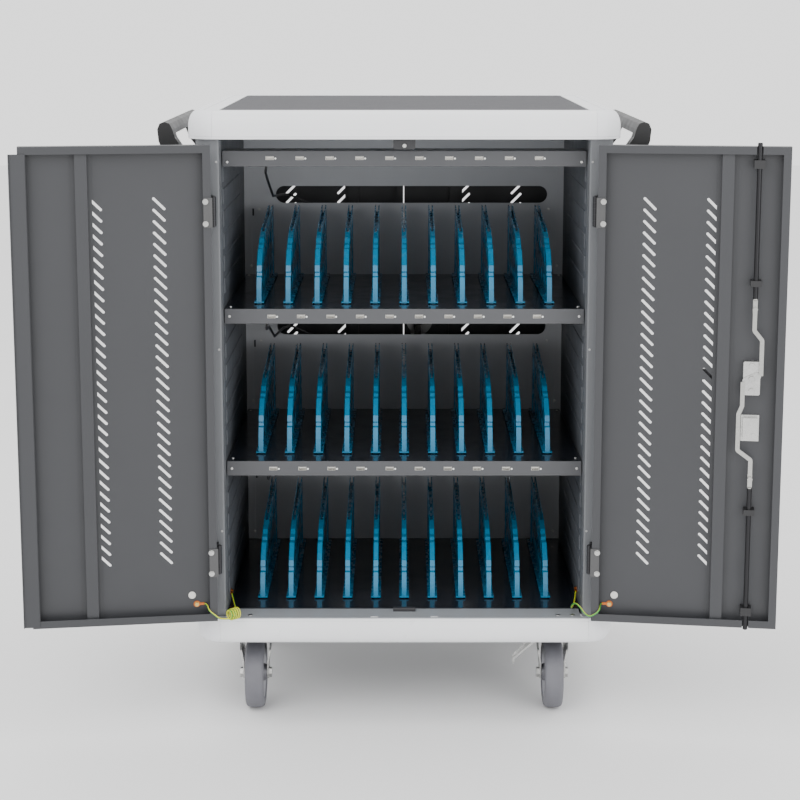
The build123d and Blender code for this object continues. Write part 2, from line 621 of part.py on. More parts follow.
def frame_leaf(d, zc, rear=False):
    """Fixed leaf with the pin, on the front of the corner post."""
    sy = -1.0 if rear else 1.0
    cx, cy = d.o
    sx = 1.0 if cx > 0 else -1.0
    with BuildPart() as p:
        for dz in (-10.0, 10.0):
            with BuildSketch(Plane.XY.offset(zc + dz - 4.9)):
                with Locations((cx, cy)):
                    Circle(4.4)
                with Locations((cx + sx * 3.3, cy + sy * 9.6)):
                    Rectangle(2.0, 19.0)
                with Locations((cx + sx * 3.3, cy + sy * 2.0)):
                    Rectangle(2.0, 4.0)
            extrude(amount=9.8)
        with BuildSketch(Plane.XY.offset(zc - 25)):
            with Locations((cx + sx * 3.3, cy + sy * 15.0)):
                Rectangle(2.0, 13.2)
            with Locations((cx + sx * 9.0, cy + sy * 21.0)):
                Rectangle(13.4, 1.6)
        extrude(amount=50)
        with BuildSketch(Plane.XY.offset(zc - 26.5)):
            with Locations((cx, cy)):
                Circle(2.26)
        extrude(amount=53)
    return p.part


def leaf_screws(d):
    res = []
    for zc in HINGE_Z:
        for dz in (-18.5, 18.5):
            with BuildPart() as s:
                with BuildSketch(d.face(DT + 1.5)):
                    with Locations((d.s * 14.2, zc + dz)):
                        Circle(4.8)
                extrude(amount=1.2)
                with BuildSketch(d.face(DT + 2.7)):
                    with Locations((d.s * 14.2, zc + dz)):
                        RegularPolygon(3.9, 6)
                extrude(amount=2.6)
            res.append(s.part)
    return res


FL = Door(-1, ang=OPEN)
FR = Door(1, ang=OPEN)
RL = Door(-1, rear=True)
RR = Door(1, rear=True)

# the slots of both open doors lean the same way to the eye
out("left_door_panel", door_panel(FL, -45))
with BuildPart() as lip:
    dbox(FL, DU1 - 12, DU1 + 15, DT + 0.3, DT + 2.0, DZ0 + 3, DZ1 - 12)
    dbox(FL, DU1 + 13.4, DU1 + 15, DT + 0.3, DT + 4.6, DZ0 + 3, DZ1 - 12)
out("left_door_stiffeners", channel(FL), lip.part)


def earth_stud(d, u, z):
    """Earth stud with its ring lug, and the plain cap above it."""
    with BuildPart() as lug:
        with BuildSketch(d.face(T + 0.1)):
            with Locations((d.s * u, z)):
                Circle(5.6)
            with Locations((d.s * (u - 8), z)):
                Rectangle(10, 4.2)
        extrude(amount=1.5)
        with BuildSketch(d.face(T + 1.6)):
            with Locations((d.s * u, z)):
                RegularPolygon(3.6, 6)
        extrude(amount=4.0)
    with BuildPart() as cap:
        with BuildSketch(d.face(T + 0.1)):
            with Locations((d.s * (u + 8), z + 16)):
                Circle(6.4)
        extrude(amount=2.4)
        fillet(cap.edges().filter_by(GeomType.CIRCLE), 0.8)
    return [lug.part, cap.part]


out("left_door_fittings", *[door_leaf(FL, z) for z in HINGE_Z], *leaf_screws(FL), *earth_stud(FL, 40, 228.6))
out("right_door_panel", door_panel(FR, -45, lock=True))
out("right_door_stiffener", channel(FR))
out("right_door_fittings", *[door_leaf(FR, z) for z in HINGE_Z], *leaf_screws(FR), *earth_stud(FR, 36, 228.6))
out("frame_hinges", *[frame_leaf(Door(s), z) for s in (-1, 1) for z in HINGE_Z],
    *[frame_leaf(Door(s, rear=True), z, True) for s in (-1, 1) for z in HINGE_Z])

# ------------------------------------------------------------------ lock on the right door
d = FR
with BuildPart() as case:
    dbox(d, LOCK_U - 14, LOCK_U + 14, T + 0.05, 15.6, 606, 663)
    fillet(case.edges().filter_by(lambda e: abs(e.length - (15.6 - T - 0.05)) < 0.01), 3)
    with BuildSketch(d.face(0)) as sk:
        with Locations((d.s * LOCK_U, CAM_Z)):
            Circle(5.6)
    extrude(sk.sketch, amount=20, mode=Mode.SUBTRACT)
bolts = []
for z in (613, 656):
    with BuildPart() as b:
        with BuildSketch(d.face(15.6)):
            with Locations((d.s * LOCK_U, z)):
                RegularPolygon(5.2, 6)
        extrude(amount=3.6)
    bolts.append(b.part)
# key barrel clamp with its screw
with BuildPart() as clamp:
    dbox(d, LOCK_U - 15, LOCK_U + 15, T + 0.05, 4.2, 525, 570)
    dbox(d, LOCK_U - 12, LOCK_U + 12, 4.2, 12.5, 531, 566)
    with BuildSketch(d.face(0)) as sk:
        with Locations((d.s * LOCK_U, KEY_Z)):
            Circle(9.3)
    extrude(sk.sketch, amount=10.8, mode=Mode.SUBTRACT)
    with BuildSketch(d.face(12.5)) as sk:
        with Locations((d.s * (LOCK_U + 5), 537)):
            Circle(3.2)
    extrude(sk.sketch, amount=1.6)
with BuildPart() as plate:
    with BuildSketch(d.face(-3.2)):
        with Locations((d.s * LOCK_U, 604)):
            RectangleRounded(34, 168, 14)
        with Locations((d.s * LOCK_U, CAM_Z)):
            Circle(5.6, mode=Mode.SUBTRACT)
        with Locations((d.s * LOCK_U, KEY_Z)):
            Circle(9.3, mode=Mode.SUBTRACT)
    extrude(amount=3.15)
    chamfer(plate.edges().filter_by(lambda e: e.length > 40 or e.geom_type == GeomType.CIRCLE and e.length > 20 and abs(e.length - 2 * math.pi * 5.6) > 1
            and abs(e.length - 2 * math.pi * 9.3) > 1).filter_by(lambda e: (e.center() - Vector(*d.pt(LOCK_U, -3.2, e.center().Z))).length < 20
            and abs((e.center() - Vector(*d.pt(0, -3.2, 0))).dot(Vector(d.n[0], d.n[1], 0))) < 0.05), 1.2)
# rod guides, near the top and the bottom of the door
guides = []
for z0, z1 in ((985, 999), (224, 238), (790, 800), (400, 410)):
    with BuildPart() as g:
        dbox(d, ROD_U - 9, ROD_U + 9, T + 0.05, ROD_V + 6.2, z0, z1)
        with BuildSketch(Plane(origin=d.pt(ROD_U, ROD_V, z0 - 2), x_dir=(d.u[0], d.u[1], 0), z_dir=(0, 0, 1))) as sk:
            Circle(4.35)
        extrude(sk.sketch, amount=30, mode=Mode.SUBTRACT)
    guides.append(g.part)
out("lock_case", case.part, *bolts, clamp.part, plate.part, *guides)

# lever with its spindle and cam; unlocked, the arm lies level and points to the hinges
with BuildPart() as lever:
    with BuildSketch(d.face(-19)):
        with Locations((d.s * LOCK_U, CAM_Z)):
            Circle(13)
        with BuildLine():
            Polyline((d.s * LOCK_U, CAM_Z + 11.5), (d.s * (LOCK_U - 96), CAM_Z + 8.5), (d.s * (LOCK_U - 104), CAM_Z + 4),
                     (d.s * (LOCK_U - 104), CAM_Z - 4), (d.s * (LOCK_U - 96), CAM_Z - 8.5), (d.s * LOCK_U, CAM_Z - 11.5), close=True)
        make_face()
    extrude(amount=9)
    fillet(lever.edges().filter_by(lambda e: abs((e.center() - Vector(*d.pt(0, -19, 0))).dot(Vector(d.n[0], d.n[1], 0))) < 0.05), 2.5)
    with BuildSketch(d.face(-10)) as sk:
        with Locations((d.s * LOCK_U, CAM_Z)):
            Circle(10)
    extrude(sk.sketch, amount=6.4)
    with BuildSketch(d.face(-4)) as sk:
        with Locations((d.s * LOCK_U, CAM_Z)):
            Circle(5.3)
    extrude(sk.sketch, amount=20.2)
with BuildPart() as cam:
    with BuildSketch(d.face(16.0)):
        with Locations((d.s * LOCK_U, CAM_Z)):
            SlotOverall(32, 13, rotation=25)
        with Locations((d.s * LOCK_U, CAM_Z)):
            Circle(5.3, mode=Mode.SUBTRACT)
    extrude(amount=1.6)
with BuildPart() as camnut:
    with BuildSketch(d.face(16.2)):
        with Locations((d.s * LOCK_U, CAM_Z)):
            RegularPolygon(5.0, 6)
    extrude(amount=4.6)
out("lock_lever", lever.part, cam.part, camnut.part)
with BuildPart() as key:
    with BuildSketch(d.face(-5.6)):
        with Locations((d.s * LOCK_U, KEY_Z)):
            Circle(9.0)
    extrude(amount=16.0)
    with BuildSketch(d.face(-6)):
        with Locations((d.s * LOCK_U, KEY_Z)):
            Rectangle(1.8, 9)
    extrude(amount=7, mode=Mode.SUBTRACT)
out("key_plug", key.part)

# lock rods with their flat links, drawn back


def link(pts, width=7.0, v0=18.0, v1=20.0):
    """Flat strip link along a list of (u, z) points."""
    with BuildPart() as p:
        with BuildSketch(d.face(v0)) as sk:
            with BuildLine() as ln:
                FilletPolyline(*[(d.s * u, z) for u, z in pts], radius=4)
            trace(ln.line, line_width=width)
        extrude(sk.sketch, amount=v1 - v0)
    return p.part


def joint_bolt(u, z):
    with BuildPart() as p:
        with BuildSketch(d.face(20.0)):
            with Locations((d.s * u, z)):
                RegularPolygon(4.6, 6)
        extrude(amount=3.6)
    return p.part


def lock_rod(z0, z1, fz0, fz1):
    """Round rod with one flattened end for its link."""
    with BuildPart() as p:
        with BuildSketch(Plane(origin=d.pt(ROD_U, ROD_V, z0), x_dir=(d.u[0], d.u[1], 0), z_dir=(0, 0, 1))):
            Circle(4.0)
        extrude(amount=z1 - z0)
        tips = p.edges().filter_by(GeomType.CIRCLE).sort_by(Axis.Z)
        chamfer([tips[0], tips[-1]], 1.0)
        dbox(d, ROD_U - 5, ROD_U + 5, 18.0, ROD_V + 6, fz0, fz1, Mode.SUBTRACT)
    return p.part


up = lock_rod(744, 1027.4, 743, 768)
lo = lock_rod(198.6, 472, 448, 473)
out("upper_lock_rod", up, link([(267, 766), (267, 716), (280, 700), (280, 640)]), joint_bolt(267, 752))
out("lower_lock_rod", lo, link([(267, 450), (267, 496), (245, 512), (245, 574), (250.5, 588), (250.5, 629)]), joint_bolt(267, 463))

# ------------------------------------------------------------------ rear doors, shut
REAR_LU = 291.0
out("rear_left_door", door_panel(RL, 45), channel(RL), *[door_leaf(RL, z) for z in HINGE_Z], *leaf_screws(RL))
with BuildPart() as rskin:
    dbox(RR, REAR_LU - 14, REAR_LU + 14, -3.2, -0.05, 586, 640)
    with BuildSketch(RR.face(-5)) as sk:
        with Locations((RR.s * REAR_LU, 613)):
            Circle(9.3)
    extrude(sk.sketch, amount=8, mode=Mode.SUBTRACT)
rr_panel = door_panel(RR, 45)
with BuildPart() as rr_cut:
    add(rr_panel)
    with BuildSketch(RR.face(-2)) as sk:
        with Locations((RR.s * REAR_LU, 613)):
            Circle(9.3)
    extrude(sk.sketch, amount=6, mode=Mode.SUBTRACT)
out("rear_right_door", rr_cut.part, channel(RR), rskin.part, *[door_leaf(RR, z) for z in HINGE_Z], *leaf_screws(RR))
with BuildPart() as rplug:
    with BuildSketch(RR.face(-6.0)):
        with Locations((RR.s * REAR_LU, 613)):
            Circle(9.0)
    extrude(amount=27.0)
    with BuildSketch(RR.face(-6.4)):
        with Locations((RR.s * REAR_LU, 613)):
            Rectangle(1.8, 9)
    extrude(amount=6, mode=Mode.SUBTRACT)
    with BuildSketch(RR.face(21.0)):
        with Locations((RR.s * REAR_LU, 613 - 15)):
            SlotOverall(46, 14, rotation=90)
    extrude(amount=2.2)
out("rear_lock", rplug.part)

# ------------------------------------------------------------------ castors
def fork(x, y):
    """Swivel fork with its race, axle bolt and nuts; the wheel trails to the front."""
    ya = y - TRAIL
    with BuildPart() as f:
        with BuildSketch(Plane.XZ.offset(-(y + 36))):
            with BuildLine():
                Polyline((x - 23, 46), (x - 23, 84), (x - 28, 112), (x - 28, 143), (x + 28, 143), (x + 28, 112), (x + 23, 84), (x + 23, 46),
                         (x + 20.4, 46), (x + 20.4, 84.5), (x + 25.2, 112.5), (x + 25.2, 140), (x - 25.2, 140), (x - 25.2, 112.5),
                         (x - 20.4, 84.5), (x - 20.4, 46), close=True)
            make_face()
        extrude(amount=90)
        with BuildSketch(Plane.YZ.offset(x - 40)):
            with BuildLine():
                Polyline((ya - 12, 62.5), (ya - 9.5, 54.5), (ya, 50.5), (ya + 9.5, 54.5), (ya + 18, 66), (y + 28, 112), (y + 31, 128), (y + 31, 144),
                         (y - 31, 144), (y - 31, 132), (ya - 13, 108), (ya - 14, 84), close=True)
            make_face()
        extrude(amount=80, mode=Mode.INTERSECT)
        with BuildSketch(Plane.XY.offset(142.9)):
            with Locations((x, y)):
                Circle(30)
        extrude(amount=4.1)
        with BuildSketch(Plane.XY.offset(138)):
            with Locations((x, y)):
                Circle(7.3)
        extrude(amount=12, mode=Mode.SUBTRACT)
        with Locations(Location((x, ya, WR), (0, 90, 0))):
            Cylinder(5.02, 80, mode=Mode.SUBTRACT)
    with BuildPart() as ax:
        with Locations(Location((x, ya, WR), (0, 90, 0))):
            Cylinder(5.0, 46)
        for sx in (-1, 1):
            with BuildSketch(Plane(origin=(x + sx * 23.05, ya, WR), x_dir=(0, 1, 0), z_dir=(sx, 0, 0))):
                RegularPolygon(9.2, 6)
            extrude(amount=5.4)
    return [f.part, ax.part]


def wheel(x, y):
    """Grey wheel with a running bore, dished on both sides."""
    ya = y - TRAIL
    h = WW / 2
    with BuildPart() as w:
        with BuildSketch(Plane(origin=(x, ya, WR), x_dir=(1, 0, 0), z_dir=(0, -1, 0))):
            with BuildLine():
                Polyline((-19.4, 5.08), (19.4, 5.08), (19.4, 14), (h - 7, 17), (h - 7, 41), (h - 3, 45), (h, 47))
                Line((h, 47), (h, 56.5))
                Bezier((h, 56.5), (h - 0.5, 61), (h - 6, 62.5), (h - 11, WR))
                Line((h - 11, WR), (-h + 11, WR))
                Bezier((-h + 11, WR), (-h + 6, 62.5), (-h + 0.5, 61), (-h, 56.5))
                Polyline((-h, 56.5), (-h, 47), (-h + 3, 45), (-h + 7, 41), (-h + 7, 17), (-19.4, 14), (-19.4, 5.08))
            make_face()
        revolve(axis=Axis((x, ya, WR), (1, 0, 0)), revolution_arc=360)
    return [w.part]


plates = []
names = (("fl", -CX, CYF), ("fr", CX, CYF), ("rl", -CX, CYR), ("rr", CX, CYR))
for nm, x, y in names:
    out(f"castor_fork_{nm}", *fork(x, y))
    out(f"castor_wheel_{nm}", *wheel(x, y))
    with BuildPart() as pl:
        with BuildSketch(Plane.XY.offset(149.9)):
            with Locations((x, y)):
                RectangleRounded(100, 80, 6)
                with GridLocations(76, 54, 2, 2):
                    Circle(4.2, mode=Mode.SUBTRACT)
        extrude(amount=3.0)
        with BuildSketch(Plane.XY.offset(147.4)):
            with Locations((x, y)):
                Circle(26)
        extrude(amount=2.6)
        with BuildSketch(Plane.XY.offset(136)):
            with Locations((x, y)):
                Circle(7.0)
        extrude(amount=13)
    plates.append(pl.part)
    for gx in (-38, 38):
        for gy in (-27, 27):
            with BuildPart() as bt:
                with BuildSketch(Plane.XY.offset(144.6)):
                    with Locations((x + gx, y + gy)):
                        RegularPolygon(6.2, 6)
                extrude(amount=5.2)
                with BuildSketch(Plane.XY.offset(149)):
                    with Locations((x + gx, y + gy)):
                        Circle(3.9)
                extrude(amount=12)
            plates.append(bt.part)
out("castor_plates", *plates)
for nm, x, y in (("fr", CX, CYF), ("rr", CX, CYR)):
    # stamped brake pedal, hinged on the inboard cheek of the fork
    with BuildPart() as pedal:
        with BuildSketch(Plane.XZ.offset(-(y + 14))):
            with BuildLine():
                Polyline((x - 28.8, 116), (x - 35, 114), (x - 70, 80), (x - 70, 70), (x - 66.8, 70), (x - 66.8, 78.4), (x - 33.6, 110.6), (x - 28.8, 112), close=True)
            make_face()
        extrude(amount=34)
        with BuildSketch(Plane.XY.offset(60)):
            with BuildLine():
                Polyline((x - 28, y - 20), (x - 62, y - 14), (x - 71, y - 10), (x - 71, y + 4), (x - 62, y + 8), (x - 28, y + 14), close=True)
            make_face()
        extrude(amount=70, mode=Mode.INTERSECT)
    out(f"brake_pedal_{nm}", pedal.part)

# ------------------------------------------------------------------ earth leads
LEAD_D = 2.6


def lead_tube(pts):
    """Straight runs joined by arcs as large as their two runs allow."""
    radii, vec = [], [Vector(*p) for p in pts]
    for a, b, c in zip(vec, vec[1:], vec[2:]):
        p, q = b - a, c - b
        turn = math.radians(p.get_angle(q))
        radii.append(0.45 * min(p.length, q.length) / math.tan(turn / 2))
    print("lead radii", [round(r, 1) for r in radii])
    with BuildPart() as t:
        with BuildLine() as path:
            FilletPolyline(*pts, radius=radii)
        with BuildSketch(Plane(origin=path.line @ 0, z_dir=path.line % 0)):
            Circle(LEAD_D / 2)
        sweep()
    length = sum(e.length for e in path.edges())
    print("lead length", round(length, 1), "volume ratio", round(t.part.volume / (length * math.pi * (LEAD_D / 2) ** 2), 4))
    return t.part


LEFT_A = [(-345.4, -14.6, 228.6), (-341.4, -17.8, 228.4), (-338.6, -24.9, 226.5), (-335.6, -34.3, 222.5), (-327.2, -36.8, 216.5), (-318.4, -34.6, 211),
          (-311, -30.6, 208.8), (-304.9, -25.8, 208.6)]
LEFT_B = [(-287.3, -8.6, 204.6), (-286.2, 3, 202.2), (-290.3, 18, 201.6), (-296, 38, 202.2), (-301, 60, 204.2), (-305, 78, 208), (-308.4, 93.5, 212)]
RIGHT = [(341.6, -14.1, 228.6), (338.8, -18.0, 228.8), (337.4, -25.4, 227.4), (335.6, -34.5, 223), (327.4, -37.2, 216.5), (318.4, -34.8, 211.8),
         (310.5, -28.5, 215.5), (304.5, -20, 223.5), (298, -10.5, 228), (293, 0.5, 223.5), (291, 13, 213.5), (293.5, 29, 206.2), (298.5, 48, 203.8),
         (302.5, 70, 204.8), (305.8, 90, 208.4), (308.4, 107.6, 212)]
out("left_earth_lead", lead_tube(LEFT_A), lead_tube(LEFT_B))
with BuildPart() as coil:
    with BuildSketch(Plane(origin=(-304.0, -24.9, 211.0), x_dir=(0, 0, 1), z_dir=(0.72, 0.69, 0.0))):
        Circle(10.5)
    extrude(amount=22.5)
    fillet(coil.edges(), 2.5)
out("left_earth_coil", coil.part)
out("right_earth_lead", lead_tube(RIGHT))
lo_, hi_ = [1e9] * 3, [-1e9] * 3
for n, bb in written.items():
    if "earth" in n:
        continue
    for i, (a, b) in enumerate(((bb.min.X, bb.max.X), (bb.min.Y, bb.max.Y), (bb.min.Z, bb.max.Z))):
        lo_[i], hi_[i] = min(lo_[i], a), max(hi_[i], b)
print("outline", [round(v, 3) for v in lo_], [round(v, 3) for v in hi_], "centre", round((lo_[0] + hi_[0]) / 2, 3), round((lo_[1] + hi_[1]) / 2, 3))
print(len(written), "nodes")
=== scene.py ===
import bpy
import math
from mathutils import Matrix, Vector


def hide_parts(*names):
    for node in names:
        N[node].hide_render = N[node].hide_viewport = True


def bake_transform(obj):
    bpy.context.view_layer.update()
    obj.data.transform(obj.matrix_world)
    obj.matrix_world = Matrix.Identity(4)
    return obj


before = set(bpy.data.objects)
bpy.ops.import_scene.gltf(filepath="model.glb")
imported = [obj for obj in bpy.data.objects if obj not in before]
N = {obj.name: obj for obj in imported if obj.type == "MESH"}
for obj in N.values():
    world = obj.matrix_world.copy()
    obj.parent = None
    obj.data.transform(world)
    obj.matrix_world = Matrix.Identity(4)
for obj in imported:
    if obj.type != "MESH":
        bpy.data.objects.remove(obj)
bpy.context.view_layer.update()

# The cabinet's own frame is shifted by this much, in mm, from the one its dimensions are given in.
SX, SY = 6.014, -292.627


def P(x, y, z):
    return Vector(((x + SX) / 1000, (y + SY) / 1000, z / 1000))


def lin(r, g, b):
    f = lambda c: c / 12.92 if c <= 0.04045 else ((c + 0.055) / 1.055) ** 2.4
    return (f(r / 255), f(g / 255), f(b / 255), 1.0)


# ------------------------------------------------------------------ camera
cam_data = bpy.data.cameras.new("camera")
cam = bpy.data.objects.new("camera", cam_data)
bpy.context.scene.collection.objects.link(cam)
cam_data.sensor_width = 36
cam_data.lens = 82.032
cam_data.shift_y = -0.10
cam_data.clip_start, cam_data.clip_end = 0.05, 60
cam.location = (-0.0014, -3.3385, 1.2295)
cam.rotation_euler = (math.radians(90 - 9.4303), 0, 0)
bpy.context.scene.camera = cam


# ------------------------------------------------------------------ materials
class Mat:
    """A node material on object coordinates, which stay with the part as it moves."""

    def __init__(self, name, color, rough, metal=0.0, spread=0.10, cloud=3.0, grain=700.0, bump=0.12, dist=0.0002,
                 rough_var=0.04, coat=0.0, stretch=(1, 1, 1), spec=0.5):
        self.m = bpy.data.materials.new(name)
        self.m.use_nodes = True
        self.t = self.m.node_tree
        self.t.nodes.clear()
        self.o = self.n("ShaderNodeOutputMaterial")
        self.b = self.n("ShaderNodeBsdfPrincipled")
        self.t.links.new(self.b.outputs[0], self.o.inputs[0])
        self.pos = self.n("ShaderNodeTexCoord").outputs["Object"]
        mp = self.n("ShaderNodeMapping")
        mp.inputs["Scale"].default_value = stretch
        self.t.links.new(self.pos, mp.inputs["Vector"])
        self.vec = mp.outputs[0]
        big = self.noise(cloud, 4, 0.55)
        fine = self.noise(grain, 2, 0.6)
        self.fine = fine
        c = list(color)
        lo = [max(0.0, v * (1 - spread)) for v in c[:3]] + [1]
        hi = [min(1.0, v * (1 + spread)) for v in c[:3]] + [1]
        ramp = self.n("ShaderNodeValToRGB")
        ramp.color_ramp.elements[0].position, ramp.color_ramp.elements[1].position = 0.32, 0.68
        ramp.color_ramp.elements[0].color, ramp.color_ramp.elements[1].color = lo, hi
        self.t.links.new(big, ramp.inputs[0])
        speck = self.mix(ramp.outputs[0], [v * 0.86 for v in c[:3]] + [1], self.range(fine, 0.52, 0.75, 0.0, 0.35))
        self.color = speck
        self.rough = self.range(self.noise(cloud * 9, 3, 0.5), 0.3, 0.7, max(0.04, rough - rough_var), min(1.0, rough + rough_var))
        self.metal = None
        self.b.inputs["Metallic"].default_value = metal
        self.b.inputs["Specular IOR Level"].default_value = spec
        if coat:
            self.b.inputs["Coat Weight"].default_value = coat
            self.b.inputs["Coat Roughness"].default_value = 0.12
        self.base_metal = metal
        bp = self.n("ShaderNodeBump")
        bp.inputs["Strength"].default_value = bump
        bp.inputs["Distance"].default_value = dist
        self.t.links.new(fine, bp.inputs["Height"])
        self.t.links.new(bp.outputs[0], self.b.inputs["Normal"])

    def n(self, kind):
        return self.t.nodes.new(kind)

    def noise(self, scale, detail, rough):
        x = self.n("ShaderNodeTexNoise")
        x.inputs["Scale"].default_value = scale
        x.inputs["Detail"].default_value = detail
        x.inputs["Roughness"].default_value = rough
        self.t.links.new(self.vec, x.inputs["Vector"])
        return x.outputs[0]

    def range(self, src, a, b, c, d):
        x = self.n("ShaderNodeMapRange")
        for k, v in zip(("From Min", "From Max", "To Min", "To Max"), (a, b, c, d)):
            x.inputs[k].default_value = v
        self.t.links.new(src, x.inputs[0])
        return x.outputs[0]

    def mix(self, a, b, fac):
        x = self.n("ShaderNodeMix")
        x.data_type = "RGBA"
        for i, v in ((6, a), (7, b)):
            if isinstance(v, (list, tuple)):
                x.inputs[i].default_value = v
            else:
                self.t.links.new(v, x.inputs[i])
        self.t.links.new(fac, x.inputs[0])
        return x.outputs[2]

    def fmix(self, a, b, fac):
        x = self.n("ShaderNodeMix")
        x.data_type = "FLOAT"
        for i, v in ((2, a), (3, b)):
            if isinstance(v, (int, float)):
                x.inputs[i].default_value = v
            else:
                self.t.links.new(v, x.inputs[i])
        self.t.links.new(fac, x.inputs[0])
        return x.outputs[0]

    def ball(self, at, r):
        """1 inside a ball round that point of the part."""
        x = self.n("ShaderNodeVectorMath")
        x.operation = "DISTANCE"
        self.t.links.new(self.pos, x.inputs[0])
        x.inputs[1].default_value = at
        return self.range(x.outputs["Value"], r - 0.0002, r + 0.0002, 1.0, 0.0)

    def side(self, d, offset, soft=0.0002):
        """1 beyond a plane: along d, past offset."""
        x = self.n("ShaderNodeVectorMath")
        x.operation = "DOT_PRODUCT"
        self.t.links.new(self.pos, x.inputs[0])
        x.inputs[1].default_value = d
        return self.range(x.outputs["Value"], offset - soft, offset + soft, 0.0, 1.0)

    def times(self, a, b):
        x = self.n("ShaderNodeMath")
        x.operation = "MULTIPLY"
        self.t.links.new(a, x.inputs[0])
        self.t.links.new(b, x.inputs[1])
        return x.outputs[0]

    def zone(self, mask, color, rough=None, metal=None, alter=0.12):
        tone = self.mix([v * (1 - alter) for v in color[:3]] + [1], [min(1, v * (1 + alter)) for v in color[:3]] + [1],
                        self.range(self.fine, 0.35, 0.65, 0.0, 1.0))
        self.color = self.mix(self.color, tone, mask)
        if rough is not None:
            self.rough = self.fmix(self.rough, float(rough), mask)
        if metal is not None and metal != self.base_metal:
            self.metal = self.fmix(self.metal if self.metal is not None else float(self.base_metal), float(metal), mask)
        return self

    def done(self):
        self.t.links.new(self.color, self.b.inputs["Base Color"])
        self.t.links.new(self.rough, self.b.inputs["Roughness"])
        if self.metal is not None:
            self.t.links.new(self.metal, self.b.inputs["Metallic"])
        return self.m


def paint(mat, *names):
    for n in names:
        o = N[n] if isinstance(n, str) else n
        o.data.materials.clear()
        o.data.materials.append(mat)


COPPER, ZINC, NICKEL = lin(190, 108, 58), lin(186, 186, 184), lin(196, 194, 188)
SILVER = lin(228, 229, 231)
paint(Mat("silver_paint", SILVER, 0.32, spread=0.03, grain=1600, bump=0.10, rough_var=0.05, coat=0.15).done(), "bumper_rails", "top_panel")
paint(Mat("silver_plastic", lin(224, 225, 228), 0.44, spread=0.02, grain=1300, bump=0.16, rough_var=0.05).done(), "bumper_corner_caps")
paint(Mat("mat_rubber", lin(62, 62, 66), 0.78, spread=0.03, grain=900, bump=0.55, dist=0.0004, rough_var=0.03).done(), "top_mat")
paint(Mat("dark_paint", lin(80, 83, 88), 0.52, spread=0.08, grain=1000, bump=0.30).done(), "left_inner_wall", "right_inner_wall", "base_pan")
paint(Mat("sill_paint", lin(139, 142, 146), 0.40, spread=0.05, grain=1100, bump=0.22).done(), "front_sill")
paint(Mat("black_gloss", lin(17, 20, 27), 0.20, spread=0.20, grain=900, bump=0.14, rough_var=0.07, coat=0.3).done(), "floor_panel", "shelf_mats")
paint(Mat("post_paint", lin(104, 106, 109), 0.40, spread=0.04, grain=1100, bump=0.18).done(), "corner_posts")
paint(Mat("grey_paint", lin(54, 55, 58), 0.56, spread=0.04, grain=900, bump=0.35, rough_var=0.03).done(), "left_side_panel", "right_side_panel")
paint(Mat("partition_paint", lin(168, 170, 174), 0.48, spread=0.07, grain=900, bump=0.35).done(), "back_partition")
paint(Mat("strip_paint", lin(69, 70, 73), 0.42, spread=0.05, grain=900, bump=0.30).done(), "upper_shelf", "middle_shelf", "top_port_rail")
paint(Mat("socket_steel", NICKEL, 0.28, 1.0, spread=0.06, grain=1400, bump=0.10)
      .done(), "usb_sockets")
paint(Mat("lamp_white", lin(235, 236, 232), 0.22, spread=0.04, grain=2400, bump=0.05).done(), "status_lamps")
paint(Mat("module_plastic", lin(38, 38, 41), 0.50, spread=0.08, grain=1200, bump=0.35).done(), "hub_modules", "door_keepers")
paint(Mat("inlet_plastic", lin(24, 24, 26), 0.42, spread=0.10, grain=1300, bump=0.30).done(), "mains_inlet")
paint(Mat("black_plastic", lin(12, 12, 14), 0.44, spread=0.10, grain=1500, bump=0.32, dist=0.00015, rough_var=0.06).done(),
      "left_handle", "right_handle", "power_rocker")
paint(Mat("supply_metal", lin(178, 180, 182), 0.38, 0.9, spread=0.06, grain=500, bump=0.12, stretch=(1, 1, 14)).done(), "power_supply")
paint(Mat("cable_black", lin(24, 24, 26), 0.42, spread=0.10, grain=1200, bump=0.20).done(), "trunk_leads")
for nm, hue in (("upper", 1.0), ("middle", 0.98), ("lower", 1.02)):
    bl = Mat("blue_plastic_" + nm, tuple(v * hue for v in lin(2, 108, 146)[:3]) + (1,), 0.27, spread=0.05, cloud=7, grain=900, bump=0.10,
             rough_var=0.07, coat=0.25)
    paint(bl.done(), "dividers_" + nm)
door = lambda n: Mat(n, lin(51, 52, 55), 0.44, spread=0.05, cloud=2.2, grain=850, bump=0.38, dist=0.00025, rough_var=0.06)
for nm in ("left_door_panel", "left_door_stiffeners", "right_door_panel", "right_door_stiffener"):
    paint(door("door_paint_" + nm).done(), nm)
hb = Mat("hinge_black", lin(40, 40, 43), 0.40, 0.3, spread=0.10, grain=900, bump=0.25)
paint(hb.done(), "frame_hinges")
zinc = lambda n: Mat(n, ZINC, 0.34, 1.0, spread=0.07, cloud=14, grain=650, bump=0.16, rough_var=0.12)
paint(zinc("zinc_forks").done(), "castor_plates", *[f"castor_fork_{c}" for c in ("fl", "fr", "rl", "rr")])
paint(zinc("zinc_pedals").done(), "brake_pedal_fr", "brake_pedal_rr")

# the rear doors: paint, with the lock plate on the right one in plated steel
for nm, sx in (("rear_left_door", -1), ("rear_right_door", 1)):
    m = door("door_paint_" + nm)
    if nm == "rear_right_door":
        m.zone(m.ball(P(319.3 - 291, 650 + 8 + 1.6, 613), 0.0305), lin(188, 188, 188), 0.3, 1.0)
    paint(m.done(), nm)
paint(Mat("key_steel", lin(208, 207, 202), 0.16, 1.0, spread=0.05, cloud=40, grain=1500, bump=0.08, rough_var=0.06).done(), "key_plug", "rear_lock")

# doors, as they stand at rest: u along the door from its hinge axis, v through it, inwards
AX, AY, OPEN = 319.3, -8.0, 172.0


